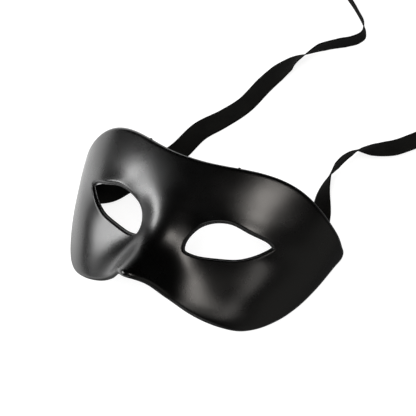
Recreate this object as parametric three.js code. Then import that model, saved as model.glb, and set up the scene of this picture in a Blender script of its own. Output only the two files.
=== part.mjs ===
import * as THREE from 'three';
import { mergeVertices } from 'three/addons/utils/BufferGeometryUtils.js';

// A half mask of thin black plastic with two ribbon ties, lying face up.
// Millimetres. As worn, x is the wearer's left, y the back and z up. A place on the
// sheet is [along, up]: along the face from the nose line, and above the eye line.

// Oval of the face that the sheet wraps
const FACE_HALF_WIDTH = 90.7;
const FACE_DEPTH = 65.6;
const FACE_ROUNDNESS = 0.94;
const BROW_SLOPE = 0.096;
const BROW_SETBACK = 4.7;
const BROW_FLARE = 0.066;

// Outline: lengths along the sheet and heights from the eye line
const SIDE_LENGTH = 114.7;
const BROW_RISE = 40.3;
const CHEEK_DROP = 43;
const TEMPLE_RISE = 12.2;

// Eye opening, measured at the front edge of its lip
const EYE_GAP = 32.6;
const EYE_LENGTH = 51.2;
const EYE_HEIGHT = 25.4;
const EYE_DROP = 9.7;

// Nose
const NOSE_HEIGHT = 24.3;
const NOSE_TOP = 11.9;
const NOSE_LENGTH = 41.3;
const BRIDGE_WIDTH = 11.9;
const NOSTRIL_WIDTH = 13.4;
const NOSE_CURVE = 1.54;

// Low relief: how far each form rises out of the sheet or sinks into it
const SOCKET_DEPTH = 4.7;
const CHEEK_HEIGHT = 2.3;
const BROW_HEIGHT = 2.6;
const NOSTRIL_HEIGHT = 2.9;
const BRIDGE_DEPTH = 1;
const INNER_BROW_DEPTH = 3.3;
const OUTER_CHEEK_HEIGHT = 1;
const TEMPLE_DEPTH = 1.3;

// Plastic: the sheet, its turned-back rim and the lips of the eye openings
const WALL = 1.6;
const RIM_RADIUS = 2.2;
const RIM_DEPTH = 3;
const LIP_RADIUS = 1.6;
const LIP_DEPTH = 2.2;
const LIP_DRAFT = 0.6;
const FILLET = 1;

// Ribbon ties, and the pads that bond them inside the temples
const RIBBON_WIDTH = 12;
const RIBBON_THICKNESS = 0.7;
const PAD_WIDTH = 14;
const PAD_HEIGHT = 10;
const PAD_THICKNESS = 1.2;
const PAD_CORNER = 2.5;
const PAD_FROM_TIP = 24.7;
const PAD_DROP = 9.5;
const PAD_GAP = 0.8;
const LAP_GAP = 0.9;

// Mesh steps
const CENTRE_STEPS = 14;
const CHEEK_STEPS = 28;
const BROW_STEPS = 24;
const FRONT_ROWS = 9;
const BACK_ROWS = 6;
const ROUND_STEPS = 3;
const TIE_STEPS = 3;

// Leans tried for the rest, in degrees
const LEAN_MIN = 45;
const LEAN_MAX = 88;
const LEAN_STEP = 0.1;

// Columns: along as a share of SIDE_LENGTH, up as a share of BROW_RISE
const BROW_EDGE = [
  { along: 0, up: 1 },
  { along: 0.09, up: 1.007 },
  { along: 0.18, up: 1.032 },
  { along: 0.27, up: 1.064 },
  { along: 0.36, up: 1.083 },
  { along: 0.45, up: 1.074 },
  { along: 0.54, up: 1.028 },
  { along: 0.63, up: 0.94 },
  { along: 0.72, up: 0.82 },
  { along: 0.81, up: 0.684 },
  { along: 0.9, up: 0.54 },
];

// Columns: along as a share of SIDE_LENGTH, down as a share of CHEEK_DROP
const CHEEK_EDGE = [
  { along: 0, down: 0.65 },
  { along: 0.08, down: 0.68 },
  { along: 0.17, down: 0.812 },
  { along: 0.26, down: 0.92 },
  { along: 0.36, down: 0.98 },
  { along: 0.46, down: 1 },
  { along: 0.56, down: 0.98 },
  { along: 0.65, down: 0.895 },
  { along: 0.73, down: 0.775 },
  { along: 0.8, down: 0.635 },
  { along: 0.87, down: 0.435 },
  { along: 0.935, down: 0.16 },
];

// Columns, beside the temple's tip: along as a share of SIDE_LENGTH, up as a share of TEMPLE_RISE
const TEMPLE_EDGE = [
  { along: 0.98, up: 0.42 },
  { along: 1, up: 0.86 },
  { along: 0.992, up: 1.13 },
  { along: 0.956, up: 1.4 },
];

// Columns: out as a share of EYE_LENGTH from the inner corner, up as a share of EYE_HEIGHT
const EYE_EDGE = [
  { out: 0, up: 0 },
  { out: -0.03, up: 0.24 },
  { out: 0.045, up: 0.585 },
  { out: 0.215, up: 0.85 },
  { out: 0.41, up: 0.96 },
  { out: 0.655, up: 0.885 },
  { out: 0.915, up: 0.78 },
  { out: 1, up: 0.645 },
  { out: 0.915, up: 0.42 },
  { out: 0.695, up: 0.14 },
  { out: 0.455, up: 0.01 },
  { out: 0.14, up: -0.07 },
];

// Where the eye's edge faces the outline's corners, as shares of the way round from the inner corner
const EYE_TURNS = { browCentre: 0.17, temple: 0.53, noseEnd: 0.925 };

// Columns: height out of the sheet, along and its spread as shares of SIDE_LENGTH,
// up and its spread as shares of BROW_RISE
const RELIEF = [
  { height: -SOCKET_DEPTH, along: 0.24, up: -0.235, wide: 0.27, tall: 0.53 },
  { height: CHEEK_HEIGHT, along: 0.38, up: -1.01, wide: 0.39, tall: 0.26 },
  { height: BROW_HEIGHT, along: 0.365, up: 0.23, wide: 0.37, tall: 0.21 },
  { height: NOSTRIL_HEIGHT, along: 0.172, up: -0.765, wide: 0.124, tall: 0.37 },
  { height: -BRIDGE_DEPTH, along: 0, up: -0.31, wide: 0.108, tall: 0.28 },
  { height: -INNER_BROW_DEPTH, along: 0.19, up: 0.19, wide: 0.122, tall: 0.234 },
  { height: OUTER_CHEEK_HEIGHT, along: 0.52, up: -0.52, wide: 0.18, tall: 0.32 },
  { height: -TEMPLE_DEPTH, along: 0.66, up: 0.23, wide: 0.19, tall: 0.28 },
];

// Routes of the ties where they lie: x, y and z of the ribbon's middle on the surface it rests on,
// and roll, in degrees, from lying flat
const TIE_ROUTES = {
  tie_right: [
    { x: -72.3, y: -5.9, z: 7.8, roll: -49.5 },
    { x: -72.8, y: -1.7, z: 9.3, roll: -49.5 },
    { x: -73, y: 2.5, z: 10.3, roll: -49.5 },
    { x: -71.6, y: 6, z: 9.6, roll: -37 },
    { x: -67.4, y: 8.4, z: 7.4, roll: 12 },
    { x: -61.8, y: 13, z: 5, roll: 30 },
    { x: -56.2, y: 20.6, z: 4, roll: 32 },
    { x: -45.4, y: 34.2, z: 3.8, roll: 31 },
    { x: -35.6, y: 48.4, z: 3.4, roll: 28 },
    { x: -29.8, y: 64.2, z: 2.3, roll: 16 },
    { x: -20.4, y: 76.1, z: 1.1, roll: 4 },
    { x: -12.2, y: 88, z: 0.6, roll: 0 },
    { x: -6.7, y: 103, z: 0.6, roll: 0 },
    { x: -2, y: 112.2, z: 1.1, roll: -4 },
    { x: 4, y: 119.2, z: 2.9, roll: -22 },
    { x: 9.6, y: 124, z: 5.2, roll: -50 },
    { x: 18.8, y: 132.6, z: 6.2, roll: -80 },
    { x: 29.6, y: 138.9, z: 6.2, roll: -87 },
    { x: 36.1, y: 142.7, z: 6.2, roll: -84 },
    { x: 39.3, y: 147, z: 6.2, roll: -78 },
    { x: 37.6, y: 151.8, z: 6.2, roll: -77 },
    { x: 32.6, y: 156.5, z: 6.2, roll: -80 },
    { x: 24.2, y: 163, z: 6.2, roll: -80 },
    { x: 16.6, y: 168.3, z: 6.2, roll: -78 },
  ],
  tie_left: [
    { x: 72.3, y: -5.9, z: 7.8, roll: 49.5 },
    { x: 72.8, y: -1.7, z: 9.3, roll: 49.5 },
    { x: 73.2, y: 2.6, z: 10.5, roll: 49.5 },
    { x: 73.6, y: 9, z: 10.5, roll: 43 },
    { x: 71.6, y: 18, z: 5.5, roll: 28 },
    { x: 67.8, y: 29, z: 2.5, roll: 12 },
    { x: 63.5, y: 41, z: 1.1, roll: 0 },
    { x: 60.3, y: 53, z: 3.8, roll: -32 },
    { x: 60.2, y: 63, z: 5.7, roll: -60 },
    { x: 61.5, y: 69.2, z: 6.2, roll: -74 },
    { x: 63.3, y: 74.2, z: 6.2, roll: -74 },
    { x: 65.8, y: 78.2, z: 6.1, roll: -70 },
    { x: 68.4, y: 81.2, z: 5.7, roll: -61 },
    { x: 75, y: 84.8, z: 3.7, roll: -32 },
    { x: 80.8, y: 87.6, z: 2.8, roll: -21 },
    { x: 87, y: 91, z: 2.1, roll: -14 },
    { x: 95.5, y: 98, z: 1.9, roll: -12 },
    { x: 101, y: 103, z: 1.5, roll: -8 },
  ],
};

function bump(place, centre, spread) {
  return Math.exp(-(((place - centre) / spread) ** 2));
}

// How far the nose and the low relief stand out of the oval
function relief(along, up) {
  const down = THREE.MathUtils.clamp((NOSE_TOP - up) / NOSE_LENGTH, 0, 1.6);
  const width = THREE.MathUtils.lerp(BRIDGE_WIDTH, NOSTRIL_WIDTH, down);
  let height = NOSE_HEIGHT * down ** NOSE_CURVE * bump(along, 0, width);
  for (const row of RELIEF) {
    const centre = row.along * SIDE_LENGTH;
    const spread = row.wide * SIDE_LENGTH;
    const across = bump(along, centre, spread) + bump(along, -centre, spread);
    height += row.height * across * bump(up, row.up * BROW_RISE, row.tall * BROW_RISE);
  }
  return height;
}

// A point on the sheet's front, on the wearer's left
function sheet(along, up) {
  const turn = along / FACE_HALF_WIDTH;
  const flare = 1 + BROW_FLARE * (up / BROW_RISE);
  const back = FACE_DEPTH * (Math.abs(1 - Math.cos(turn)) ** FACE_ROUNDNESS);
  const bow = BROW_SLOPE * up + BROW_SETBACK * (up / BROW_RISE) ** 2;
  const out = relief(along, up);
  const x = FACE_HALF_WIDTH * Math.sin(turn) * flare + out * Math.sin(turn);
  const y = back + bow - out * Math.cos(turn);
  return new THREE.Vector3(x, y, up);
}

// The sheet's slopes and its outward normal at a place
function slopes(along, up) {
  const step = 0.25;
  const alongSlope = sheet(along + step, up).sub(sheet(along - step, up)).divideScalar(2 * step);
  const upSlope = sheet(along, up + step).sub(sheet(along, up - step)).divideScalar(2 * step);
  const normal = alongSlope.clone().cross(upSlope).normalize();
  return { alongSlope, upSlope, normal };
}

// The place reached from a place by a short way in the sheet
function moved([along, up], way) {
  const { alongSlope, upSlope } = slopes(along, up);
  const aa = alongSlope.dot(alongSlope);
  const ab = alongSlope.dot(upSlope);
  const bb = upSlope.dot(upSlope);
  const wa = way.dot(alongSlope);
  const wb = way.dot(upSlope);
  const scale = 1 / (aa * bb - ab * ab);
  return [along + (wa * bb - wb * ab) * scale, up + (wb * aa - wa * ab) * scale];
}

// Frames along an edge: the point, the normal and the way out across the edge
function edgeFrames(places, closed) {
  const points = places.map(([along, up]) => sheet(along, up));
  const count = points.length;
  return places.map((place, i) => {
    let before = points[(i + count - 1) % count];
    let after = points[(i + 1) % count];
    if (!closed && i === 0) before = after.clone().setX(-after.x);
    if (!closed && i === count - 1) after = before.clone().setX(-before.x);
    const run = after.clone().sub(before).normalize();
    const { normal } = slopes(...place);
    const out = run.cross(normal).normalize();
    return { place, point: points[i], normal, out };
  });
}

function smooth(knots, closed) {
  const points = knots.map(([along, up]) => new THREE.Vector3(along, up, 0));
  return new THREE.CatmullRomCurve3(points, closed, 'centripetal');
}

// Evenly spaced places on a stretch of a curve, without the last one
function spaced(curve, from, to, steps) {
  const places = [];
  for (let i = 0; i < steps; i++) {
    const point = curve.getPointAt(THREE.MathUtils.euclideanModulo(from + ((to - from) * i) / steps, 1));
    places.push([point.x, point.y]);
  }
  return places;
}

// The outline, from the brow's centre down the nose line, along the cheek and back over the temple
function outline() {
  const cheek = CHEEK_EDGE.map((row) => [row.along * SIDE_LENGTH, -row.down * CHEEK_DROP]);
  const temple = TEMPLE_EDGE.map((row) => [row.along * SIDE_LENGTH, row.up * TEMPLE_RISE]);
  const brow = BROW_EDGE.map((row) => [row.along * SIDE_LENGTH, row.up * BROW_RISE]).reverse();
  const mirrored = ([along, up]) => [-along, up];
  const half = [...cheek, ...temple, ...brow];
  const curve = smooth([mirrored(half[1]), ...half, mirrored(half[half.length - 2])], false);
  curve.arcLengthDivisions = 2000;
  const lengths = curve.getLengths();
  const full = lengths[lengths.length - 1];
  const spans = half.length + 1;
  const shareAt = (knot) => lengths[Math.round((knot / spans) * (lengths.length - 1))] / full;
  const start = shareAt(1);
  const tip = shareAt(1 + cheek.length + 1.5);
  const end = shareAt(half.length);
  const down = [];
  for (let i = 0; i < CENTRE_STEPS; i++) {
    down.push([0, THREE.MathUtils.lerp(brow[brow.length - 1][1], cheek[0][1], i / CENTRE_STEPS)]);
  }
  return [
    ...down,
    cheek[0],
    ...spaced(curve, start, tip, CHEEK_STEPS).slice(1),
    ...spaced(curve, tip, end, BROW_STEPS),
    down[0],
  ];
}

// The eye's edge, matched to the outline point by point
function eyeEdge() {
  const inner = EYE_GAP / 2;
  const knots = EYE_EDGE.map((row) => [inner + row.out * EYE_LENGTH, row.up * EYE_HEIGHT - EYE_DROP]);
  const curve = smooth(knots, true);
  curve.arcLengthDivisions = 1000;
  const { browCentre, temple, noseEnd } = EYE_TURNS;
  return [
    ...spaced(curve, browCentre, noseEnd - 1, CENTRE_STEPS),
    ...spaced(curve, noseEnd, temple, CHEEK_STEPS),
    ...spaced(curve, temple, browCentre, BROW_STEPS),
  ];
}

// A round that starts on the sheet at a frame and ends in a lip turned back, out to its inner fillet
function turnedEdge(frame, radius, depth, draft) {
  const at = (out, back) => frame.point.clone().addScaledVector(frame.out, out).addScaledVector(frame.normal, -back);
  const points = [];
  for (let i = 1; i <= ROUND_STEPS; i++) {
    const angle = ((Math.PI / 2) * i) / ROUND_STEPS;
    points.push(at(radius * Math.sin(angle), radius * (1 - Math.cos(angle))));
  }
  points.push(at(radius + draft, depth));
  points.push(at(radius + draft - WALL, depth));
  points.push(at(radius + draft - WALL, Math.min(WALL + FILLET, (WALL + depth) / 2)));
  return points;
}

function shellGeometry() {
  const loop = outline();
  const rimPlaces = loop.slice(CENTRE_STEPS);
  const insetBy = (distance) => (frame) => moved(frame.place, frame.out.clone().multiplyScalar(-distance));
  const edge = edgeFrames(rimPlaces, false);
  const rim = edgeFrames(edge.map(insetBy(RIM_RADIUS)), false);
  const rimInside = rim.map(insetBy(WALL + FILLET - RIM_RADIUS));

  const eyePlaces = eyeEdge();
  const eye = edgeFrames(eyePlaces, true);
  for (const frame of eye) frame.out.negate();
  const eyeInside = eye.map(insetBy(WALL + FILLET - LIP_RADIUS));

  // Rings of places from the eye out to the outline; the nose line is a cut between the two halves
  const columns = eyePlaces.length;
  const ring = (inner, outer, share) => inner.map(([along, up], j) => {
    const end = j < CENTRE_STEPS ? [0, centreUp(outer, j)] : outer[(j - CENTRE_STEPS) % outer.length];
    return [THREE.MathUtils.lerp(along, end[0], share), THREE.MathUtils.lerp(up, end[1], share)];
  });
  const centreUp = (outer, j) => THREE.MathUtils.lerp(outer[outer.length - 1][1], outer[0][1], j / CENTRE_STEPS);

  const front = [];
  const rimStart = rim.map((frame) => frame.place);
  for (let i = 0; i <= FRONT_ROWS; i++) {
    front.push(ring(eyePlaces, rimStart, i / FRONT_ROWS).map(([along, up]) => sheet(along, up)));
  }
  const back = [];
  for (let i = 0; i <= BACK_ROWS; i++) {
    back.push(ring(eyeInside, rimInside, i / BACK_ROWS).map(([along, up]) => {
      const { normal } = slopes(along, up);
      return sheet(along, up).addScaledVector(normal, -WALL);
    }));
  }
  const rimRounds = rim.map((frame) => turnedEdge(frame, RIM_RADIUS, RIM_DEPTH, 0));
  const eyeRounds = eye.map((frame) => turnedEdge(frame, LIP_RADIUS, LIP_DEPTH, LIP_DRAFT));

  const rows = [...front];
  const rimRows = rimRounds[0].length;
  for (let k = 0; k < rimRows; k++) {
    rows.push(Array.from({ length: columns }, (_, j) => {
      const isCut = j > 0 && j < CENTRE_STEPS;
      return isCut ? null : rimRounds[j === 0 ? rimRounds.length - 1 : j - CENTRE_STEPS][k];
    }));
  }
  rows.push(...back.slice().reverse());
  for (let k = eyeRounds[0].length - 1; k >= 0; k--) rows.push(eyeRounds.map((round) => round[k]));
  return mirroredGeometry(rows);
}

// Joins rings of points into a closed skin, with its mirror image across the nose line
function mirroredGeometry(rows) {
  const positions = [];
  const triangle = (a, b, c) => {
    if (!a || !b || !c) return;
    positions.push(...a.toArray(), ...b.toArray(), ...c.toArray());
    positions.push(-a.x, a.y, a.z, -c.x, c.y, c.z, -b.x, b.y, b.z);
  };
  rows.forEach((row, i) => {
    const next = rows[(i + 1) % rows.length];
    row.forEach((point, j) => {
      const k = (j + 1) % row.length;
      const isSplit = !point || !next[j] || !row[k] || !next[k];
      if (isSplit) return;
      triangle(point, next[j], next[k]);
      triangle(point, next[k], row[k]);
    });
  });
  return skin(positions);
}

// A closed skin from loose triangles
function skin(positions) {
  const geometry = new THREE.BufferGeometry();
  geometry.setAttribute('position', new THREE.Float32BufferAttribute(positions, 3));
  const merged = mergeVertices(geometry, 0.001);
  merged.computeVertexNormals();
  return merged;
}

// The centre of mass of a closed skin
function centreOfMass(geometry) {
  const corners = [0, 1, 2].map(() => new THREE.Vector3());
  const centre = new THREE.Vector3();
  let volume = 0;
  for (let i = 0; i < geometry.index.count; i += 3) {
    corners.forEach((corner, k) => corner.fromBufferAttribute(geometry.attributes.position, geometry.index.getX(i + k)));
    const share = corners[0].dot(corners[1].clone().cross(corners[2])) / 6;
    volume += share;
    for (const corner of corners) centre.addScaledVector(corner, share / 4);
  }
  return centre.divideScalar(volume);
}

// The lean, in degrees, at which a skin lying face up has its centre of mass lowest
function restLean(geometry) {
  const centre = centreOfMass(geometry);
  const vertex = new THREE.Vector3();
  let best = { height: Infinity, lean: 0 };
  for (let lean = LEAN_MIN; lean <= LEAN_MAX; lean += LEAN_STEP) {
    const angle = THREE.MathUtils.degToRad(lean);
    const up = new THREE.Vector3(0, -Math.sin(angle), Math.cos(angle));
    let lowest = Infinity;
    for (let i = 0; i < geometry.attributes.position.count; i++) {
      lowest = Math.min(lowest, vertex.fromBufferAttribute(geometry.attributes.position, i).dot(up));
    }
    const height = centre.dot(up) - lowest;
    if (height < best.height) best = { height, lean };
  }
  return best.lean;
}

// A flat ribbon along a route, as a strip of blocks that turns with the roll
function ribbonGeometry(route) {
  const path = new THREE.CatmullRomCurve3(route.map((row) => new THREE.Vector3(row.x, row.y, row.z)));
  const rolls = new THREE.CatmullRomCurve3(route.map((row) => new THREE.Vector3(row.roll, 0, 0)), false, 'catmullrom');
  const steps = (route.length - 1) * TIE_STEPS;
  const sections = [];
  for (let i = 0; i <= steps; i++) {
    const middle = path.getPoint(i / steps);
    const run = path.getTangent(i / steps);
    const roll = THREE.MathUtils.degToRad(rolls.getPoint(i / steps).x);
    const side = new THREE.Vector3(0, 0, 1).cross(run).normalize();
    const across = side.applyAxisAngle(run, roll).multiplyScalar(RIBBON_WIDTH / 2);
    const face = run.clone().cross(across).normalize().multiplyScalar(RIBBON_THICKNESS / 2);
    sections.push([
      middle.clone().sub(across).sub(face),
      middle.clone().add(across).sub(face),
      middle.clone().add(across).add(face),
      middle.clone().sub(across).add(face),
    ]);
  }
  const positions = [];
  const quad = (a, b, c, d) => {
    for (const corner of [a, b, c, a, c, d]) positions.push(...corner.toArray());
  };
  for (let i = 0; i < steps; i++) {
    const here = sections[i];
    const next = sections[i + 1];
    for (let k = 0; k < 4; k++) quad(here[k], here[(k + 1) % 4], next[(k + 1) % 4], next[k]);
  }
  quad(...sections[0].slice().reverse());
  quad(...sections[steps]);
  return skin(positions);
}

// The pad that bonds a tie's end: a plate along the inner face, clear of the ribbon between them
function padMesh(name, side, material) {
  const shape = new THREE.Shape();
  const x = PAD_WIDTH / 2;
  const y = PAD_HEIGHT / 2;
  const c = PAD_CORNER;
  shape.moveTo(-x + c, -y).lineTo(x - c, -y).absarc(x - c, -y + c, c, -Math.PI / 2, 0);
  shape.lineTo(x, y - c).absarc(x - c, y - c, c, 0, Math.PI / 2);
  shape.lineTo(-x + c, y).absarc(-x + c, y - c, c, Math.PI / 2, Math.PI);
  shape.lineTo(-x, -y + c).absarc(-x + c, -y + c, c, Math.PI, Math.PI * 1.5);
  const plate = new THREE.ExtrudeGeometry(shape, { depth: PAD_THICKNESS, bevelEnabled: false, curveSegments: 4 });
  const mesh = new THREE.Mesh(plate, material);
  mesh.name = name;
  const along = SIDE_LENGTH - PAD_FROM_TIP;
  const { alongSlope, normal } = slopes(along, -PAD_DROP);
  const place = sheet(along, -PAD_DROP);
  const run = alongSlope.normalize();
  const inward = WALL + LAP_GAP + RIBBON_THICKNESS + PAD_GAP;
  place.addScaledVector(normal, -inward);
  const out = normal.clone().negate();
  if (side < 0) for (const vector of [place, run, out]) vector.x *= -1;
  mesh.position.copy(place);
  mesh.quaternion.setFromRotationMatrix(new THREE.Matrix4().makeBasis(run, out.clone().cross(run), out));
  return mesh;
}

const shellMaterial = new THREE.MeshStandardMaterial({ color: '#141414', roughness: 0.42, metalness: 0 });
const padMaterial = new THREE.MeshStandardMaterial({ color: '#1a1a1a', roughness: 0.7, metalness: 0 });
const ribbonMaterial = new THREE.MeshStandardMaterial({ color: '#171715', roughness: 0.8, metalness: 0 });

const shell = new THREE.Mesh(shellGeometry(), shellMaterial);
shell.name = 'mask_shell';

// The worn parts lean back until they rest, with the middle of the shell's footprint at the origin
const worn = new THREE.Group();
worn.add(shell);
worn.rotation.x = -THREE.MathUtils.degToRad(restLean(shell.geometry));
const footprint = new THREE.Box3().setFromObject(worn, true);
worn.position.set(0, -(footprint.min.y + footprint.max.y) / 2, -footprint.min.z);
worn.add(padMesh('tie_pad_left', 1, padMaterial));
worn.add(padMesh('tie_pad_right', -1, padMaterial));

const mask = new THREE.Group();
mask.add(worn);
for (const [name, route] of Object.entries(TIE_ROUTES)) {
  const tie = new THREE.Mesh(ribbonGeometry(route), ribbonMaterial);
  tie.name = name;
  mask.add(tie);
}

export default mask;
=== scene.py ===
"""A plain black half mask of moulded plastic with two ribbon ties, lying face up. Metres.

As worn, x is the wearer's left, y the back and z up. A place on the sheet is (along, up):
along the face from the nose line, and above the eye line.
"""

import math

import bmesh
import bpy
import numpy as np
from bpy.props import FloatProperty, FloatVectorProperty, PointerProperty
from mathutils import Matrix, Quaternion, Vector


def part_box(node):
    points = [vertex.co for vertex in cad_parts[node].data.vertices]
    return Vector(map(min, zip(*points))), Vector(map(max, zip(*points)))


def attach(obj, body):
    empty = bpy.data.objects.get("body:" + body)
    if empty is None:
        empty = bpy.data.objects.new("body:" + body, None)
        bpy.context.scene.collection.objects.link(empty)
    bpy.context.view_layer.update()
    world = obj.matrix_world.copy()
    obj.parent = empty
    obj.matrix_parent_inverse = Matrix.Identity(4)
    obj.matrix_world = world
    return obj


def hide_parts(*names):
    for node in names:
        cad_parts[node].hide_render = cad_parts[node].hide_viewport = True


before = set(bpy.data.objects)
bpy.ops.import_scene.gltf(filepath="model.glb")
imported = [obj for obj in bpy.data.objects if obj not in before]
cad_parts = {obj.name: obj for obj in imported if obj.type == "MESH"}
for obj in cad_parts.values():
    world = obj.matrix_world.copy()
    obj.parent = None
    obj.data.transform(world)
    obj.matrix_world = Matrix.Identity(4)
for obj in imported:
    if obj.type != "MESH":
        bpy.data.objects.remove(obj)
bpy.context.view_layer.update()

bl_info = {
    "name": "Half Mask",
    "version": (1, 0, 0),
    "blender": (4, 5, 0),
    "location": "3D View > Sidebar > Half Mask",
    "description": "Makes a moulded half mask with ribbon ties on a pale floor",
    "category": "Add Mesh",
}

MM = 0.001

# Oval of the face that the sheet wraps
FACE_HALF_WIDTH = 90.7 * MM
FACE_DEPTH = 65.6 * MM
FACE_ROUNDNESS = 0.94
BROW_SLOPE = 0.096
BROW_SETBACK = 4.7 * MM
BROW_FLARE = 0.066

# Outline: lengths along the sheet and heights from the eye line
SIDE_LENGTH = 114.7 * MM
BROW_RISE = 40.3 * MM
CHEEK_DROP = 43 * MM
TEMPLE_RISE = 12.2 * MM

# Eye opening, measured at the front edge of its lip
EYE_GAP = 32.6 * MM
EYE_LENGTH = 51.2 * MM
EYE_HEIGHT = 25.4 * MM
EYE_DROP = 9.7 * MM

# Nose
NOSE_HEIGHT = 24.3 * MM
NOSE_TOP = 11.9 * MM
NOSE_LENGTH = 41.3 * MM
BRIDGE_WIDTH = 11.9 * MM
NOSTRIL_WIDTH = 13.4 * MM
NOSE_CURVE = 1.54
NOSE_DOWN_MOST = 1.6

# Low relief: how far each form rises out of the sheet or sinks into it
SOCKET_DEPTH = 4.7 * MM
CHEEK_HEIGHT = 2.3 * MM
BROW_HEIGHT = 2.6 * MM
NOSTRIL_HEIGHT = 2.9 * MM
BRIDGE_DEPTH = 1 * MM
INNER_BROW_DEPTH = 3.3 * MM
OUTER_CHEEK_HEIGHT = 1 * MM
TEMPLE_DEPTH = 1.3 * MM

# Lean at which the shell rests on both temples
REST_LEAN = math.radians(68.5)

# Pads inside the temples
PAD_WIDTH = 14 * MM
PAD_HEIGHT = 10 * MM
PAD_THICKNESS = 1.2 * MM
PAD_CORNER = 2.5 * MM
PAD_FROM_TIP = 24.7 * MM
PAD_DROP = 9.5 * MM
PAD_INWARD = 4 * MM
PAD_EDGE = 0.3 * MM

# Mould marks on the brow's rim: how far along the face, their size and how far round the rim they sit
GATE_ALONG = 28.9 * MM
GATE_WIDTH = 1.6 * MM
GATE_HEIGHT = 0.45 * MM
GATE_TURN = math.radians(75)

# Columns: along as a share of SIDE_LENGTH, up as a share of BROW_RISE
BROW_EDGE = [
    (0, 1), (0.09, 1.007), (0.18, 1.032), (0.27, 1.064), (0.36, 1.083), (0.45, 1.074),
    (0.54, 1.028), (0.63, 0.94), (0.72, 0.82), (0.81, 0.684), (0.9, 0.54),
]

# Columns: along as a share of SIDE_LENGTH, down as a share of CHEEK_DROP
CHEEK_EDGE = [
    (0, 0.65), (0.08, 0.68), (0.17, 0.812), (0.26, 0.92), (0.36, 0.98), (0.46, 1),
    (0.56, 0.98), (0.65, 0.895), (0.73, 0.775), (0.8, 0.635), (0.87, 0.435), (0.935, 0.16),
]

# Columns, beside the temple's tip: along as a share of SIDE_LENGTH, up as a share of TEMPLE_RISE
TEMPLE_EDGE = [(0.98, 0.42), (1, 0.86), (0.992, 1.13), (0.956, 1.4)]

# Columns: out as a share of EYE_LENGTH from the inner corner, up as a share of EYE_HEIGHT
EYE_EDGE = [
    (0, 0), (-0.03, 0.24), (0.045, 0.585), (0.215, 0.85), (0.41, 0.96), (0.655, 0.885),
    (0.915, 0.78), (1, 0.645), (0.915, 0.42), (0.695, 0.14), (0.455, 0.01), (0.14, -0.07),
]

# Where the eye's edge faces the outline's corners, as shares of the way round
EYE_TURN_BROW = 0.17
EYE_TURN_TEMPLE = 0.53
EYE_TURN_NOSE = 0.925

# The temple's tip, in knots from the temple's first one
TIP_KNOT = 1.5

# Columns: height out of the sheet, along and up of its middle, and its spread along and up;
# along is a share of SIDE_LENGTH and up a share of BROW_RISE
RELIEF = [
    (-SOCKET_DEPTH, 0.24, -0.235, 0.27, 0.53),
    (CHEEK_HEIGHT, 0.38, -1.01, 0.39, 0.26),
    (BROW_HEIGHT, 0.365, 0.23, 0.37, 0.21),
    (NOSTRIL_HEIGHT, 0.172, -0.765, 0.124, 0.37),
    (-BRIDGE_DEPTH, 0, -0.31, 0.108, 0.28),
    (-INNER_BROW_DEPTH, 0.19, 0.19, 0.122, 0.234),
    (OUTER_CHEEK_HEIGHT, 0.52, -0.52, 0.18, 0.32),
    (-TEMPLE_DEPTH, 0.66, 0.23, 0.19, 0.28),
]

# Routes of the ties where they lie. Columns: x, y and z of the ribbon's middle, roll from flat in degrees
TIE_ROUTES = {
    "tie_right": [
        (-0.0723, -0.0059, 0.0078, -49.5), (-0.0728, -0.0017, 0.0093, -49.5),
        (-0.073, 0.0025, 0.0103, -49.5), (-0.0716, 0.006, 0.0096, -37),
        (-0.0674, 0.0084, 0.0074, 12), (-0.0618, 0.013, 0.005, 30),
        (-0.0562, 0.0206, 0.004, 32), (-0.0454, 0.0342, 0.0038, 31), (-0.0356, 0.0484, 0.0034, 28),
        (-0.0298, 0.0642, 0.0023, 16), (-0.0204, 0.0761, 0.0011, 4), (-0.0122, 0.088, 0.0006, 0),
        (-0.0067, 0.103, 0.0006, 0), (-0.002, 0.1122, 0.0011, -4), (0.004, 0.1192, 0.0029, -22),
        (0.0096, 0.124, 0.0052, -50), (0.0188, 0.1326, 0.0062, -80), (0.0296, 0.1389, 0.0062, -87),
        (0.0361, 0.1427, 0.0062, -84), (0.0393, 0.147, 0.0062, -78), (0.0376, 0.1518, 0.0062, -77),
        (0.0326, 0.1565, 0.0062, -80), (0.0242, 0.163, 0.0062, -80), (0.0166, 0.1683, 0.0062, -78),
    ],
    "tie_left": [
        (0.0723, -0.0059, 0.0078, 49.5), (0.0728, -0.0017, 0.0093, 49.5), (0.0732, 0.0026, 0.0105, 49.5),
        (0.0736, 0.009, 0.0105, 43), (0.0716, 0.018, 0.0055, 28), (0.0678, 0.029, 0.0025, 12),
        (0.0635, 0.041, 0.0011, 0), (0.0603, 0.053, 0.0038, -32), (0.0602, 0.063, 0.0057, -60),
        (0.0615, 0.0692, 0.0062, -74), (0.0633, 0.0742, 0.0062, -74), (0.0658, 0.0782, 0.0061, -70),
        (0.0684, 0.0812, 0.0057, -61), (0.075, 0.0848, 0.0037, -32), (0.0808, 0.0876, 0.0028, -21),
        (0.087, 0.091, 0.0021, -14), (0.0955, 0.098, 0.0019, -12), (0.101, 0.103, 0.0015, -8),
    ],
}

# Moulded plastic: the scale of its grain and patches, how deep the grain is, and how shade and
# roughness vary with the patches
GRAIN_SCALE = 1500
PATCH_SCALE = 45
GRAIN_STRENGTH = 0.5
SHELL_GRAIN_DEPTH = 0.03 * MM
PAD_GRAIN_DEPTH = 0.05 * MM
PLASTIC_SHADES = (0.85, 1.2)
ROUGHNESS_SPREAD = (-0.03, 0.04)
PAD_ROUGHNESS = 0.6
PLASTIC_IOR = 1.5

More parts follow.
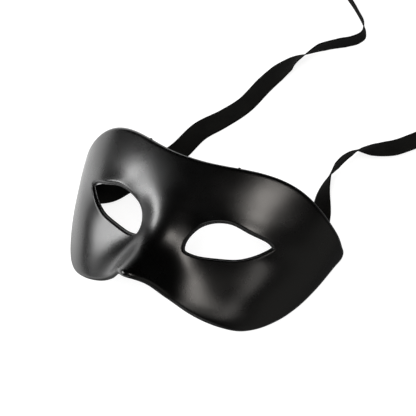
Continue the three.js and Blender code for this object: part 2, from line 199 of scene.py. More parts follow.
# Woven ribbon: the scale of its threads and patches, how deep the threads are, and how shade and
# roughness vary with the patches
THREADS = {"X": 420, "Y": 560}
THREAD_UNEVENNESS = 0.6
RIBBON_PATCH_SCALE = 160
THREAD_STRENGTH = 0.6
THREAD_DEPTH = 0.12 * MM
RIBBON_SHADES = (0.75, 1.5)
RIBBON_ROUGHNESS = (0.62, 0.8)
RIBBON_SPECULAR = 0.1
RIBBON_SHEEN = 0.01
RIBBON_SHEEN_ROUGHNESS = 0.5

# Span of the noise that counts as a patch
PATCH_SPAN = (0.3, 0.7)

# Points of the two halves that are nearer than this are joined
JOIN_GAP = 0.002 * MM

# Mesh steps
CENTRE_STEPS = 40
CHEEK_STEPS = 120
BROW_STEPS = 104
FRONT_ROWS = 40
BACK_ROWS = 22
ROUND_STEPS = 7
CORNER_STEPS = 3
LIP_STEPS = 2
CURVE_STEPS = 120
TIE_STEPS = 14
TIE_COLUMNS = 10

# Camera: where it stands, what it looks at, how far it is turned about its axis, and its lens
CAMERA_PLACE = (0.7252, -0.3164, 1.2206)
CAMERA_TARGET = (0.0087, 0.0184, 0.02)
CAMERA_ROLL = math.radians(-41.6)
CAMERA_LENS = 226.4
SENSOR_WIDTH = 36

# Floor: its size, its own glow, the grey that light on it meets, and the x where its painted
# reflection begins to fade and to stay dim, each with how bright the painted reflection is there
FLOOR_SIZE = 8
FLOOR_GLOW = 0.82
FLOOR_ALBEDO = 0.3
PAINTED_REFLECTION_BRIGHT_SIDE = (-0.1, 1.6)
PAINTED_REFLECTION_DIM_SIDE = (-0.05, 0.25)

# What the lights face
LIT_PLACE = (0, 0, 0.03)

# Columns: name, azimuth and elevation in degrees, distance, width, height, radiance, colour
LIGHTS = [
    ("key_softbox", 194, 29.5, 1.5, 0.7, 0.42, 14, (1, 1, 1)),
    ("top_softbox", -3, 71, 1.5, 0.42, 0.4, 9, (1, 0.95, 0.9)),
    ("high_fill", -33, 55, 1.6, 0.5, 0.4, 2.2, (1, 0.96, 0.92)),
    ("front_softbox", -92, 13, 1.6, 0.9, 0.6, 1.3, (1, 1, 1)),
    ("side_fill", -20, 17, 1.9, 2.2, 1.0, 0.3, (1, 0.98, 0.92)),
    ("back_strip", 131, 9, 1.5, 0.4, 0.35, 0.15, (1, 1, 1)),
]


def metres(name, default, description):
    """A length setting."""
    return FloatProperty(
        name=name,
        default=default,
        description=description,
        min=0,
        subtype="DISTANCE",
        unit="LENGTH",
        precision=5,
    )


def colour(name, default, description):
    """A colour setting."""
    return FloatVectorProperty(
        name=name, default=default, description=description, size=3, min=0, max=1, subtype="COLOR"
    )


def share(name, default, description):
    """A setting from 0 to 1."""
    return FloatProperty(name=name, default=default, description=description, min=0, max=1, subtype="FACTOR")


class ShellSettings(bpy.types.PropertyGroup):
    """Sizes of the plastic shell."""

    wall: metres("Wall", 1.6 * MM, "Thickness of the moulded sheet")
    fillet: metres("Fillet", 1 * MM, "Round between the sheet and the inside of its turned edges")
    corner: metres("Edge Corner", 0.4 * MM, "Round on the ends of the turned edges")
    rim_radius: metres("Rim Radius", 2.2 * MM, "Round where the outline turns back")
    rim_depth: metres("Rim Depth", 3 * MM, "How far the outline's rim turns back")
    lip_radius: metres("Lip Radius", 1.6 * MM, "Round where an eye's lip turns back")
    lip_depth: metres("Lip Depth", 2.2 * MM, "How far an eye's lip turns back")
    lip_draft: metres("Lip Draft", 0.6 * MM, "How far an eye's lip leans into the opening")


class TieSettings(bpy.types.PropertyGroup):
    """Sizes of the ribbon ties."""

    width: metres("Ribbon Width", 12 * MM, "Width of the ribbon")
    thickness: metres("Ribbon Thickness", 0.6 * MM, "Thickness of the ribbon")
    cup: metres("Ribbon Cup", 0.35 * MM, "How far the ribbon's middle stands off the line between its edges")


class FinishSettings(bpy.types.PropertyGroup):
    """Colours and gloss of the materials."""

    plastic: colour("Plastic", (0.0006, 0.0006, 0.0006), "Colour of the moulded plastic")
    plastic_roughness: share("Plastic Roughness", 0.27, "Roughness of the satin plastic")
    ribbon: colour("Ribbon", (0.002, 0.002, 0.0015), "Colour of the woven ribbon")
    pad: colour("Pad", (0.006, 0.006, 0.006), "Colour of the bond pads")
    floor: colour("Floor", (1, 1, 1), "Colour of the floor")


def bump(place, centre, spread):
    """A soft rise from 0 to 1 and back round a centre."""
    return np.exp(-(((place - centre) / spread) ** 2))


def relief(along, up):
    """How far the nose and the low relief stand out of the oval."""
    down = np.clip((NOSE_TOP - up) / NOSE_LENGTH, 0, NOSE_DOWN_MOST)
    width = BRIDGE_WIDTH + (NOSTRIL_WIDTH - BRIDGE_WIDTH) * down
    height = NOSE_HEIGHT * down**NOSE_CURVE * bump(along, 0, width)
    for rise, middle, level, wide, tall in RELIEF:
        centre, spread = middle * SIDE_LENGTH, wide * SIDE_LENGTH
        across = bump(along, centre, spread) + bump(along, -centre, spread)
        height = height + rise * across * bump(up, level * BROW_RISE, tall * BROW_RISE)
    return height


def sheet(along, up):
    """Points on the sheet's front, on the wearer's left."""
    turn = along / FACE_HALF_WIDTH
    flare = 1 + BROW_FLARE * (up / BROW_RISE)
    back = FACE_DEPTH * np.abs(1 - np.cos(turn)) ** FACE_ROUNDNESS
    bow = BROW_SLOPE * up + BROW_SETBACK * (up / BROW_RISE) ** 2
    out = relief(along, up)
    x = FACE_HALF_WIDTH * np.sin(turn) * flare + out * np.sin(turn)
    y = back + bow - out * np.cos(turn)
    return np.stack([x, y, up + 0 * along], axis=-1)


def dot(a, b):
    """Dot products of rows of vectors."""
    return np.sum(a * b, axis=-1)


def unit(vectors):
    """Vectors cut to a length of 1."""
    return vectors / np.linalg.norm(vectors, axis=-1, keepdims=True)


def slopes(places):
    """The sheet's slopes along and up, and its outward normal."""
    along, up = places[..., 0], places[..., 1]
    step = 0.25 * MM
    along_slope = (sheet(along + step, up) - sheet(along - step, up)) / (2 * step)
    up_slope = (sheet(along, up + step) - sheet(along, up - step)) / (2 * step)
    return along_slope, up_slope, unit(np.cross(along_slope, up_slope))


def moved(places, way):
    """The places reached by a short way in the sheet."""
    along_slope, up_slope, _ = slopes(places)
    aa, ab, bb = dot(along_slope, along_slope), dot(along_slope, up_slope), dot(up_slope, up_slope)
    wa, wb = dot(way, along_slope), dot(way, up_slope)
    scale = 1 / (aa * bb - ab * ab)
    return places + np.stack([(wa * bb - wb * ab) * scale, (wb * aa - wa * ab) * scale], axis=-1)


def smooth_line(knots, closed):
    """A dense line through knots, as a centripetal curve, and the index of each knot in it."""
    knots = np.array(knots, dtype=float)
    count = len(knots)
    spans = count if closed else count - 1
    points = []
    for i in range(spans):
        p1, p2 = knots[i], knots[(i + 1) % count]
        p0 = knots[i - 1] if closed or i else 2 * p1 - p2
        p3 = knots[(i + 2) % count] if closed or i < spans - 1 else 2 * p2 - p1
        d0, d1, d2 = (max(np.linalg.norm(b - a) ** 0.5, 1e-9) for a, b in ((p0, p1), (p1, p2), (p2, p3)))
        start = ((p1 - p0) / d0 - (p2 - p0) / (d0 + d1) + (p2 - p1) / d1) * d1
        end = ((p2 - p1) / d1 - (p3 - p1) / (d1 + d2) + (p3 - p2) / d2) * d1
        t = np.arange(CURVE_STEPS)[:, None] / CURVE_STEPS
        points.append(
            (2 * t**3 - 3 * t**2 + 1) * p1 + (t**3 - 2 * t**2 + t) * start
            + (3 * t**2 - 2 * t**3) * p2 + (t**3 - t**2) * end
        )
    points.append(knots[:1] if closed else knots[-1:])
    return np.concatenate(points)


def lengths_along(line):
    """Length from the line's start to each of its points."""
    return np.concatenate([[0], np.cumsum(np.linalg.norm(np.diff(line, axis=0), axis=1))])


def spaced(line, start, end, steps):
    """Evenly spaced places on a stretch of a line, from share start to share end, without the last one."""
    lengths = lengths_along(line)
    wanted = np.mod(start + (end - start) * np.arange(steps) / steps, 1) * lengths[-1]
    return np.stack([np.interp(wanted, lengths, line[:, k]) for k in range(line.shape[1])], axis=-1)


def outline():
    """The outline, from the nose line's lower end along the cheek and over the temple to the brow."""
    cheek = [(along * SIDE_LENGTH, -down * CHEEK_DROP) for along, down in CHEEK_EDGE]
    temple = [(along * SIDE_LENGTH, up * TEMPLE_RISE) for along, up in TEMPLE_EDGE]
    brow = [(along * SIDE_LENGTH, up * BROW_RISE) for along, up in reversed(BROW_EDGE)]
    half = cheek + temple + brow
    line = smooth_line([(-half[1][0], half[1][1])] + half + [(-half[-2][0], half[-2][1])], False)
    lengths = lengths_along(line)
    start, tip, end = (
        lengths[int(knot * CURVE_STEPS)] / lengths[-1] for knot in (1, 1 + len(cheek) + TIP_KNOT, len(half))
    )
    return np.concatenate([
        spaced(line, start, tip, CHEEK_STEPS),
        spaced(line, tip, end, BROW_STEPS),
        np.array([brow[-1]]),
    ])


def eye_edge():
    """The eye's edge from its inner side, matched to the outline point by point."""
    inner = EYE_GAP / 2
    knots = [(inner + out * EYE_LENGTH, up * EYE_HEIGHT - EYE_DROP) for out, up in EYE_EDGE]
    line = smooth_line(knots, True)
    return np.concatenate([
        spaced(line, EYE_TURN_BROW, EYE_TURN_NOSE - 1, CENTRE_STEPS),
        spaced(line, EYE_TURN_NOSE, EYE_TURN_TEMPLE, CHEEK_STEPS),
        spaced(line, EYE_TURN_TEMPLE, EYE_TURN_BROW, BROW_STEPS),
    ])


class EdgeFrames:
    """Points along an edge with the sheet's normal there and the way out across the edge."""

    def __init__(self, places, closed, outward=1):
        self.places = places
        self.points = sheet(places[:, 0], places[:, 1])
        before = np.roll(self.points, 1, axis=0)
        after = np.roll(self.points, -1, axis=0)
        if not closed:
            mirror = np.array([-1, 1, 1])
            before[0] = self.points[1] * mirror
            after[-1] = self.points[-2] * mirror
        self.normals = slopes(places)[2]
        self.out = unit(np.cross(after - before, self.normals)) * outward

    def at(self, out, back):
        """The edge moved out across itself and back under the sheet."""
        return self.points + self.out * out - self.normals * back

    def inset(self, distance):
        """The places that lie in from the edge by a distance."""
        return moved(self.places, self.out * -distance)


def quarter(steps):
    """Angles of a quarter turn, without its first."""
    return [(math.pi / 2) * i / steps for i in range(1, steps + 1)]


def turned_edge(edge, radius, depth, draft, shell):
    """Rows of points round an edge that turns back, from the sheet's front to its inside fillet."""
    corner, wall = shell.corner, shell.wall
    rise = min(shell.fillet, (depth - wall) / 2)
    fall = shell.fillet + draft
    outer = radius + draft
    inner = outer - wall
    rows = [edge.at(radius * math.sin(a), radius * (1 - math.cos(a))) for a in quarter(ROUND_STEPS)]
    for i in range(1, LIP_STEPS + 1):
        part = i / LIP_STEPS
        rows.append(edge.at(radius + draft * part, radius + (depth - corner - radius) * part))
    for a in quarter(CORNER_STEPS):
        rows.append(edge.at(outer - corner * (1 - math.cos(a)), depth - corner * (1 - math.sin(a))))
    for a in quarter(CORNER_STEPS):
        rows.append(edge.at(inner + corner * (1 - math.sin(a)), depth - corner * (1 - math.cos(a))))
    for a in [0] + quarter(CORNER_STEPS)[:-1]:
        rows.append(edge.at(inner - fall * (1 - math.cos(a)), wall + rise * (1 - math.sin(a))))
    return rows


def rings(inner, outer, count):
    """Rings of places from an eye's edge to the outline; at first the outer side is the nose line."""
    drop = np.arange(CENTRE_STEPS) / CENTRE_STEPS
    centre = np.stack([0 * drop, outer[-1][1] + (outer[0][1] - outer[-1][1]) * drop], axis=-1)
    whole = np.concatenate([centre, outer[:-1]])
    return [inner + (whole - inner) * (i / count) for i in range(count + 1)]


def shell_rows(shell):
    """Rows of points round the shell's section, from an eye's edge over the front and back inside."""
    edge = EdgeFrames(outline(), False)
    rim = EdgeFrames(edge.inset(shell.rim_radius), False)
    rim_inside = rim.inset(shell.wall + shell.fillet - shell.rim_radius)
    eye = EdgeFrames(eye_edge(), True, outward=-1)
    eye_inside = eye.inset(shell.wall + shell.fillet - shell.lip_radius)
    front = [sheet(ring[:, 0], ring[:, 1]) for ring in rings(eye.places, rim.places, FRONT_ROWS)]
    back = [
        sheet(ring[:, 0], ring[:, 1]) - slopes(ring)[2] * shell.wall
        for ring in rings(eye_inside, rim_inside, BACK_ROWS)
    ]
    gap = np.full((CENTRE_STEPS - 1, 3), np.nan)
    rim_rows = turned_edge(rim, shell.rim_radius, shell.rim_depth, 0, shell)
    rim_rows = [np.concatenate([row[-1:], gap, row[:-1]]) for row in rim_rows]
    eye_rows = turned_edge(eye, shell.lip_radius, shell.lip_depth, shell.lip_draft, shell)
    return front + rim_rows + back[::-1] + eye_rows[::-1]


def mirrored_mesh(name, rows):
    """A closed skin from rings of points, with its mirror image across the nose line."""
    columns = len(rows[0])
    points = np.concatenate(rows)
    kept = ~np.isnan(points[:, 0])
    faces = []
    for i in range(len(rows)):
        for j in range(columns):
            corners = [
                i * columns + j,
                ((i + 1) % len(rows)) * columns + j,
                ((i + 1) % len(rows)) * columns + (j + 1) % columns,
                i * columns + (j + 1) % columns,
            ]
            if kept[corners].all():
                faces.append(corners)
    mesh = bmesh.new()
    for side in (1, -1):
        verts = [
            mesh.verts.new((side * x, y, z)) if there else None
            for (x, y, z), there in zip(points, kept)
        ]
        for corners in faces:
            ordered = corners if side > 0 else corners[::-1]
            mesh.faces.new([verts[k] for k in ordered])
    bmesh.ops.remove_doubles(mesh, verts=mesh.verts, dist=JOIN_GAP)
    data = bpy.data.meshes.new(name)
    mesh.to_mesh(data)
    mesh.free()
    return data


def rest_matrix():
    """From the worn place to where the mask lies."""
    low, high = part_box("mask_shell")
    lean = Matrix.Rotation(-REST_LEAN, 4, "X")
    rows = np.concatenate(shell_rows(bpy.context.scene.half_mask_shell))
    rows = rows[~np.isnan(rows[:, 0])]
    turned = rows @ np.array(lean.to_3x3()).T
    middle = (turned[:, 1].min() + turned[:, 1].max()) / 2
    lift = Vector((0, (low[1] + high[1]) / 2 - middle, low[2] - turned[:, 2].min()))
    return Matrix.Translation(lift) @ lean


def show(name, data, material, slot, *nodes):
    """Adds a piece that rides on the body, takes a finish and stands for the CAD nodes it names."""
    piece = bpy.data.objects.new(name, data)
    bpy.context.scene.collection.objects.link(piece)
    data.materials.append(material)
    for face in data.polygons:
        face.use_smooth = True
    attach(piece, "root")
    if nodes:
        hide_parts(*nodes)
    return piece


def new_material(name):
    """An empty node material with its Principled shader and output."""
    material = bpy.data.materials.new(name)
    material.use_nodes = True
    tree = material.node_tree
    tree.nodes.clear()
    output = tree.nodes.new("ShaderNodeOutputMaterial")
    shader = tree.nodes.new("ShaderNodeBsdfPrincipled")
    tree.links.new(shader.outputs["BSDF"], output.inputs["Surface"])
    return material, tree, shader


def grain_group():
    """Node group: fine moulded grain as a height, and soft patches as a mask."""
    group = bpy.data.node_groups.get("moulded_grain")
    if group:
        return group
    group = bpy.data.node_groups.new("moulded_grain", "ShaderNodeTree")
    face = group.interface
    face.new_socket("Grain Scale", in_out="INPUT", socket_type="NodeSocketFloat").default_value = GRAIN_SCALE
    face.new_socket("Patch Scale", in_out="INPUT", socket_type="NodeSocketFloat").default_value = PATCH_SCALE
    face.new_socket("Height", in_out="OUTPUT", socket_type="NodeSocketFloat")
    face.new_socket("Patches", in_out="OUTPUT", socket_type="NodeSocketFloat")
    nodes, links = group.nodes, group.links
    inputs = nodes.new("NodeGroupInput")
    outputs = nodes.new("NodeGroupOutput")
    place = nodes.new("ShaderNodeTexCoord")
    fine = nodes.new("ShaderNodeTexNoise")
    fine.inputs["Detail"].default_value = 2
    patches = nodes.new("ShaderNodeTexNoise")
    patches.inputs["Detail"].default_value = 4
    for noise in (fine, patches):
        links.new(place.outputs["Object"], noise.inputs["Vector"])
    links.new(inputs.outputs["Grain Scale"], fine.inputs["Scale"])
    links.new(inputs.outputs["Patch Scale"], patches.inputs["Scale"])
    links.new(fine.outputs["Fac"], outputs.inputs["Height"])
    links.new(patches.outputs["Fac"], outputs.inputs["Patches"])
    return group


def varied(tree, mask, low, high):
    """A value that goes from low to high with a mask."""
    ramp = tree.nodes.new("ShaderNodeMapRange")
    ramp.inputs["From Min"].default_value, ramp.inputs["From Max"].default_value = PATCH_SPAN
    ramp.inputs["To Min"].default_value = low
    ramp.inputs["To Max"].default_value = high
    tree.links.new(mask, ramp.inputs["Value"])
    return ramp.outputs["Result"]


def tinted(tree, mask, colour_value, shades):
    """A colour that goes from its first shade to its last with a mask."""
    mix = tree.nodes.new("ShaderNodeMix")
    mix.data_type = "RGBA"
    mix.inputs["A"].default_value = (*shaded(colour_value, shades[0]), 1)
    mix.inputs["B"].default_value = (*shaded(colour_value, shades[1]), 1)
    tree.links.new(varied(tree, mask, 0, 1), mix.inputs["Factor"])
    return mix.outputs["Result"]


def raised(tree, height, strength, distance):
    """A normal from a height."""
    surface = tree.nodes.new("ShaderNodeBump")
    surface.inputs["Strength"].default_value = strength
    surface.inputs["Distance"].default_value = distance
    tree.links.new(height, surface.inputs["Height"])
    return surface.outputs["Normal"]


def shaded(colour_value, factor):
    """A colour made darker or lighter."""
    return tuple(channel * factor for channel in colour_value)


def moulded_material(name, colour_value, roughness, grain_depth):
    """Satin moulded plastic with a fine grain and soft patches."""
    if name in bpy.data.materials:
        return bpy.data.materials[name]
    material, tree, shader = new_material(name)
    grain = tree.nodes.new("ShaderNodeGroup")
    grain.node_tree = grain_group()
    patches = grain.outputs["Patches"]
    least, most = (roughness + spread for spread in ROUGHNESS_SPREAD)
    links = tree.links
    links.new(tinted(tree, patches, colour_value, PLASTIC_SHADES), shader.inputs["Base Color"])
    links.new(varied(tree, patches, least, most), shader.inputs["Roughness"])
    links.new(raised(tree, grain.outputs["Height"], GRAIN_STRENGTH, grain_depth), shader.inputs["Normal"])
    shader.inputs["IOR"].default_value = PLASTIC_IOR
    return material


def shell_material():
    """The satin black of the shell."""
    finish = bpy.context.scene.half_mask_finish
    return moulded_material(
        "satin_black_plastic", finish.plastic, finish.plastic_roughness, SHELL_GRAIN_DEPTH
    )


def ribbon_material():
    """Matte woven ribbon: threads along and across it, with soft unevenness."""
    name = "black_woven_ribbon"
    if name in bpy.data.materials:
        return bpy.data.materials[name]
    finish = bpy.context.scene.half_mask_finish
    material, tree, shader = new_material(name)
    nodes, links = tree.nodes, tree.links
    place = nodes.new("ShaderNodeUVMap")
    place.uv_map = "ribbon"
    waves = []
    for direction, scale in THREADS.items():
        wave = nodes.new("ShaderNodeTexWave")
        wave.bands_direction = direction
        wave.inputs["Scale"].default_value = scale
        wave.inputs["Distortion"].default_value = THREAD_UNEVENNESS
        links.new(place.outputs["UV"], wave.inputs["Vector"])
        waves.append(wave)
    weave = nodes.new("ShaderNodeMath")
    weave.operation = "MULTIPLY"
    links.new(waves[0].outputs["Fac"], weave.inputs[0])
    links.new(waves[1].outputs["Fac"], weave.inputs[1])
    grain = nodes.new("ShaderNodeGroup")
    grain.node_tree = grain_group()
    grain.inputs["Patch Scale"].default_value = RIBBON_PATCH_SCALE
    patches = grain.outputs["Patches"]
    links.new(tinted(tree, patches, finish.ribbon, RIBBON_SHADES), shader.inputs["Base Color"])
    links.new(varied(tree, patches, *RIBBON_ROUGHNESS), shader.inputs["Roughness"])
    links.new(raised(tree, weave.outputs["Value"], THREAD_STRENGTH, THREAD_DEPTH), shader.inputs["Normal"])
    shader.inputs["Specular IOR Level"].default_value = RIBBON_SPECULAR
    shader.inputs["Sheen Weight"].default_value = RIBBON_SHEEN
    shader.inputs["Sheen Roughness"].default_value = RIBBON_SHEEN_ROUGHNESS
    return material


class HALFMASK_OT_stage(bpy.types.Operator):
    """Lay the pale floor, hang the soft lights and set the camera"""

    bl_idname = "half_mask.stage"
    bl_label = "Stage"

    def execute(self, context):
        scene = context.scene
        self.add_floor(scene)
        for light in LIGHTS:
            self.add_light(scene, *light)
        self.add_camera(scene)
        self.add_world(scene)
        scene.view_settings.view_transform = "Standard"
        return {"FINISHED"}

    def add_world(self, scene):
        """White all round, but dark where the plastic mirrors it."""
        scene.world = bpy.data.worlds.new("studio")
        scene.world.use_nodes = True
        tree = scene.world.node_tree
        background = tree.nodes["Background"]
        background.inputs["Color"].default_value = (1, 1, 1, 1)
        rays = tree.nodes.new("ShaderNodeLightPath")
        unseen = tree.nodes.new("ShaderNodeMath")
        unseen.operation = "SUBTRACT"
        unseen.inputs[0].default_value = 1
        tree.links.new(rays.outputs["Is Glossy Ray"], unseen.inputs[1])
        tree.links.new(unseen.outputs["Value"], background.inputs["Strength"])

    def add_floor(self, scene):
        """A pale floor with a soft glow, so shadows stay faint, and a painted reflection that fades to one
        side.
        """
        half = FLOOR_SIZE / 2
        data = bpy.data.meshes.new("floor")
        corners = [(-half, -half, 0), (half, -half, 0), (half, half, 0), (-half, half, 0)]
        data.from_pydata(corners, [], [(0, 1, 2, 3)])
        material, tree, shader = new_material("pale_floor")
        shader.inputs["Base Color"].default_value = (FLOOR_ALBEDO, FLOOR_ALBEDO, FLOOR_ALBEDO, 1)
        shader.inputs["Roughness"].default_value = 1
        shader.inputs["Specular IOR Level"].default_value = 0
        shader.inputs["Emission Color"].default_value = (*scene.half_mask_finish.floor, 1)
        shader.inputs["Emission Strength"].default_value = FLOOR_GLOW
        place = tree.nodes.new("ShaderNodeTexCoord")
        parts = tree.nodes.new("ShaderNodeSeparateXYZ")
        fade = tree.nodes.new("ShaderNodeMapRange")
        fade.interpolation_type = "SMOOTHSTEP"
        fade.inputs["From Min"].default_value, fade.inputs["To Min"].default_value = PAINTED_REFLECTION_BRIGHT_SIDE
        fade.inputs["From Max"].default_value, fade.inputs["To Max"].default_value = PAINTED_REFLECTION_DIM_SIDE
        tree.links.new(place.outputs["Object"], parts.inputs["Vector"])
        tree.links.new(parts.outputs["X"], fade.inputs["Value"])
        # Painted reflection: glossy rays see this glow in place of the floor, bright on one side and dim on
        # the other
        painted_reflection = tree.nodes.new("ShaderNodeEmission")
        tree.links.new(fade.outputs["Result"], painted_reflection.inputs["Strength"])
        rays = tree.nodes.new("ShaderNodeLightPath")
        mix = tree.nodes.new("ShaderNodeMixShader")
        output = next(node for node in tree.nodes if node.type == "OUTPUT_MATERIAL")
        tree.links.new(rays.outputs["Is Glossy Ray"], mix.inputs["Fac"])
        tree.links.new(shader.outputs["BSDF"], mix.inputs[1])
        tree.links.new(painted_reflection.outputs["Emission"], mix.inputs[2])
        tree.links.new(mix.outputs["Shader"], output.inputs["Surface"])
        data.materials.append(material)
        floor = bpy.data.objects.new("floor", data)
        scene.collection.objects.link(floor)

    def add_light(self, scene, name, azimuth, elevation, distance, width, height, radiance, tint):
        """A soft box that faces the mask from a direction, as bright as its radiance says."""
        data = bpy.data.lights.new(name, "AREA")
        data.shape = "RECTANGLE"
        data.size = width
        data.size_y = height
        data.color = tint
        data.energy = radiance * math.pi * width * height
        turn, rise = math.radians(azimuth), math.radians(elevation)
        way = Vector((math.cos(turn) * math.cos(rise), math.sin(turn) * math.cos(rise), math.sin(rise)))
        light = bpy.data.objects.new(name, data)
        light.location = Vector(LIT_PLACE) + way * distance
        light.rotation_euler = (-way).to_track_quat("-Z", "Y").to_euler()
        scene.collection.objects.link(light)

    def add_camera(self, scene):
        """The camera at the photo's angle to the mask."""
        data = bpy.data.cameras.new("camera")
        data.lens = CAMERA_LENS
        data.sensor_width = SENSOR_WIDTH
        camera = bpy.data.objects.new("camera", data)
        camera.location = CAMERA_PLACE
        facing = (Vector(CAMERA_TARGET) - Vector(CAMERA_PLACE)).to_track_quat("-Z", "Y")
        camera.rotation_mode = "QUATERNION"
        camera.rotation_quaternion = facing @ Quaternion((0, 0, 1), CAMERA_ROLL)
        scene.collection.objects.link(camera)
        scene.camera = camera


class HALFMASK_OT_ties(bpy.types.Operator):
    """Lay the two ribbon ties along their routes"""

    bl_idname = "half_mask.ties"
    bl_label = "Ribbon Ties"

    def execute(self, context):
        settings = context.scene.half_mask_ties
        for name, route in TIE_ROUTES.items():
            places = np.array([row[:3] for row in route])
            path = smooth_line(places, False)[:: CURVE_STEPS // TIE_STEPS]
            turns = [math.radians(row[3]) for row in route]
            rolls = np.interp(np.linspace(0, 1, len(path)), np.linspace(0, 1, len(route)), turns)
            data = self.ribbon(name, path, rolls, settings)
            piece = show(f"{name}_ribbon", data, ribbon_material(), "ribbon", name)
        return {"FINISHED"}

    def ribbon(self, name, path, rolls, settings):
        """A flat ribbon that turns with the roll, with a slight cup."""
        run = unit(np.gradient(path, axis=0))
        side = unit(np.cross([0, 0, 1.0], run))
        across = np.array([
            Quaternion(Vector(axis), angle) @ Vector(way) for axis, angle, way in zip(run, rolls, side)
        ])
        face = np.cross(run, across)
        half = settings.thickness / 2
        ring = []
        for i in range(TIE_COLUMNS + 1):
            part = 2 * i / TIE_COLUMNS - 1
            ring.append((part, settings.cup * (1 - part**2)))
        section = [(part, cup + half) for part, cup in ring]
        section += [(part, cup - half) for part, cup in ring[::-1]]
        width = settings.width / 2 - half
        points = np.stack([path + across * (width * part) + face * level for part, level in section], axis=1)
        count, columns = points.shape[:2]
        faces = []
        for i in range(count - 1):
            for j in range(columns):
                k = (j + 1) % columns
                here, ahead = i * columns, (i + 1) * columns
                faces.append((here + j, here + k, ahead + k, ahead + j))
        faces.append(tuple(range(columns))[::-1])
        faces.append(tuple((count - 1) * columns + j for j in range(columns)))
        data = bpy.data.meshes.new(f"{name}_ribbon")
        data.from_pydata(points.reshape(-1, 3).tolist(), [], faces)
        data.validate()
        lengths = lengths_along(path)
        layer = data.uv_layers.new(name="ribbon")
        for loop in data.loops:
            i, j = divmod(loop.vertex_index, columns)
            layer.data[loop.index].uv = (lengths[i], width * section[j][0])
        mesh = bmesh.new()
        mesh.from_mesh(data)
        bmesh.ops.recalc_face_normals(mesh, faces=mesh.faces)
        mesh.to_mesh(data)
        mesh.free()
        return data


class HALFMASK_OT_shell(bpy.types.Operator):
    """Mould the shell with its relief, open eyes and turned-back edges"""

    bl_idname = "half_mask.shell"
    bl_label = "Moulded Shell"

    def execute(self, context):
        data = mirrored_mesh("moulded_shell", shell_rows(context.scene.half_mask_shell))
        data.transform(rest_matrix())
        show("moulded_shell", data, shell_material(), "shell", "mask_shell")
        return {"FINISHED"}


class HALFMASK_OT_gates(bpy.types.Operator):
    """Leave the two small mould marks on the brow's rim"""

    bl_idname = "half_mask.gates"
    bl_label = "Mould Marks"

    def execute(self, context):
        shell = context.scene.half_mask_shell
        rim = EdgeFrames(EdgeFrames(outline(), False).inset(shell.rim_radius), False)
        spot = CHEEK_STEPS + int(np.argmin(np.abs(rim.places[CHEEK_STEPS:, 0] - GATE_ALONG)))
        across = shell.rim_radius * math.sin(GATE_TURN)
        back = shell.rim_radius * (1 - math.cos(GATE_TURN))
        out, normal = Vector(rim.out[spot]), Vector(rim.normals[spot])
        basis = Matrix((normal.cross(out), out, normal)).transposed().to_4x4()
        place = Matrix.Translation(Vector(rim.at(across, back)[spot])) @ basis
        size = Matrix.Diagonal((GATE_WIDTH / 2, GATE_HEIGHT, GATE_WIDTH / 2, 1))
        rest = rest_matrix()
        for name, side in (("gate_left", 1), ("gate_right", -1)):
            mirror = Matrix.Scale(side, 4, (1, 0, 0))
            mesh = bmesh.new()
            bmesh.ops.create_uvsphere(mesh, u_segments=24, v_segments=12, radius=1)
            bmesh.ops.transform(mesh, matrix=rest @ mirror @ place @ size, verts=mesh.verts)
            bmesh.ops.recalc_face_normals(mesh, faces=mesh.faces)
            data = bpy.data.meshes.new(name)
            mesh.to_mesh(data)
            mesh.free()
            show(name, data, shell_material(), "shell")
        return {"FINISHED"}


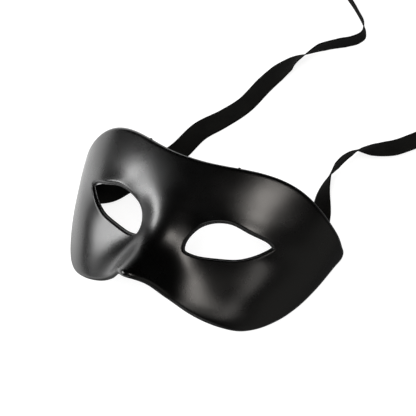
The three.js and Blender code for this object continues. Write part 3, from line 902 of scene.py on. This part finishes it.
class HALFMASK_OT_pads(bpy.types.Operator):
    """Set the bond pads that hold the ties inside the temples"""

    bl_idname = "half_mask.pads"
    bl_label = "Bond Pads"

    def execute(self, context):
        finish = context.scene.half_mask_finish
        material = moulded_material("matte_black_pad", finish.pad, PAD_ROUGHNESS, PAD_GRAIN_DEPTH)
        for name, side in (("tie_pad_left", 1), ("tie_pad_right", -1)):
            data = self.plate(f"{name}_plate")
            data.transform(rest_matrix() @ self.place(side))
            show(f"{name}_plate", data, material, "pad", name)
        return {"FINISHED"}

    def place(self, side):
        """The pad's place inside a temple: x along the sheet and z inward."""
        spot = np.array([[SIDE_LENGTH - PAD_FROM_TIP, -PAD_DROP]])
        along_slope, _, normal = (rows[0] for rows in slopes(spot))
        middle = sheet(spot[:, 0], spot[:, 1])[0] - normal * PAD_INWARD
        mirror = np.array([side, 1, 1])
        run, out = Vector(unit(along_slope) * mirror), Vector(-normal * mirror)
        basis = Matrix((run, out.cross(run), out)).transposed().to_4x4()
        return Matrix.Translation(Vector(middle * mirror)) @ basis

    def plate(self, name):
        """A plate with round corners and softened edges."""
        half_x, half_y, corner = PAD_WIDTH / 2, PAD_HEIGHT / 2, PAD_CORNER
        ring = []
        for k, (sx, sy) in enumerate(((1, -1), (1, 1), (-1, 1), (-1, -1))):
            for i in range(ROUND_STEPS + 1):
                angle = (k - 1) * math.pi / 2 + (math.pi / 2) * i / ROUND_STEPS
                ring.append((
                    sx * (half_x - corner) + corner * math.cos(angle),
                    sy * (half_y - corner) + corner * math.sin(angle),
                ))
        mesh = bmesh.new()
        base = mesh.faces.new([mesh.verts.new((x, y, 0)) for x, y in ring])
        top = bmesh.ops.extrude_face_region(mesh, geom=[base])["geom"]
        lifted = [part for part in top if isinstance(part, bmesh.types.BMVert)]
        bmesh.ops.translate(mesh, verts=lifted, vec=(0, 0, PAD_THICKNESS))
        bmesh.ops.recalc_face_normals(mesh, faces=mesh.faces)
        sharp = [edge for edge in mesh.edges if edge.calc_face_angle(0) > math.radians(50)]
        bmesh.ops.bevel(mesh, geom=sharp, offset=PAD_EDGE, segments=3, profile=0.5, affect="EDGES")
        data = bpy.data.meshes.new(name)
        mesh.to_mesh(data)
        mesh.free()
        return data


SETTINGS = {
    "half_mask_shell": ShellSettings,
    "half_mask_ties": TieSettings,
    "half_mask_finish": FinishSettings,
}
OPERATORS = [
    HALFMASK_OT_stage,
    HALFMASK_OT_ties,
    HALFMASK_OT_shell,
    HALFMASK_OT_gates,
    HALFMASK_OT_pads,
]


class HALFMASK_PT_panel(bpy.types.Panel):
    """Lists the pieces and their settings"""

    bl_idname = "HALFMASK_PT_panel"
    bl_label = "Half Mask"
    bl_space_type = "VIEW_3D"
    bl_region_type = "UI"
    bl_category = "Half Mask"

    def draw(self, context):
        for name, group in SETTINGS.items():
            column = self.layout.column(align=True)
            for prop in group.__annotations__:
                column.prop(getattr(context.scene, name), prop)
        for operator in OPERATORS:
            self.layout.operator(operator.bl_idname)


def register():
    for cls in (*SETTINGS.values(), *OPERATORS, HALFMASK_PT_panel):
        bpy.utils.register_class(cls)
    for name, group in SETTINGS.items():
        setattr(bpy.types.Scene, name, PointerProperty(type=group))


def unregister():
    for name in SETTINGS:
        delattr(bpy.types.Scene, name)
    for cls in (HALFMASK_PT_panel, *reversed(OPERATORS), *SETTINGS.values()):
        bpy.utils.unregister_class(cls)


def main():
    register()
    bpy.ops.half_mask.stage()
    bpy.ops.half_mask.ties()
    bpy.ops.half_mask.shell()
    bpy.ops.half_mask.gates()
    bpy.ops.half_mask.pads()


if __name__ == "__main__":
    main()
